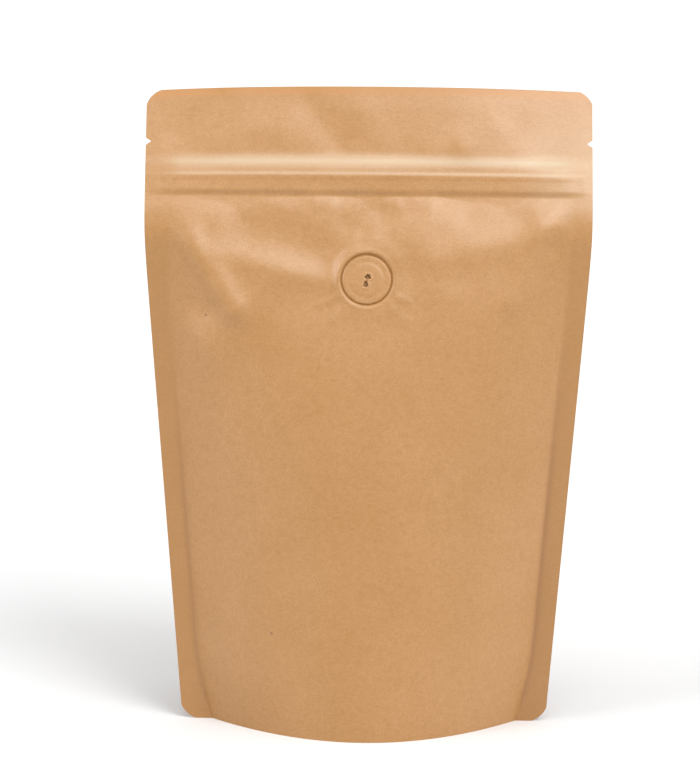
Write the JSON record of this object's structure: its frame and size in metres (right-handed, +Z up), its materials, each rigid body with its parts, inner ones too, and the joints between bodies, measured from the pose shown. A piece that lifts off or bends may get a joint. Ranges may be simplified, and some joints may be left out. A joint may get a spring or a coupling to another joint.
{
  "type": "coffee bag",
  "caption": "Stand-up kraft paper coffee pouch, filled and shut, with a press-to-close zip, tear notches, a gusseted base and a round degassing valve.",
  "frame": {"origin": "middle of the footprint, on the surface that the pouch stands on", "axes": "+Z up, the front with the valve faces -Y, +X to the right seen from the front"},
  "size_m": [0.16, 0.0646, 0.2291],
  "materials": {
    "kraft_laminate": "matt brown kraft paper on a plastic film, with fine fibres",
    "valve_facing": "the same kraft paper, pressed smooth over the valve"
  },
  "bodies": {
    "root": {"pouch": "kraft_laminate", "degassing_valve": "valve_facing"}
  },
  "joints": []
}
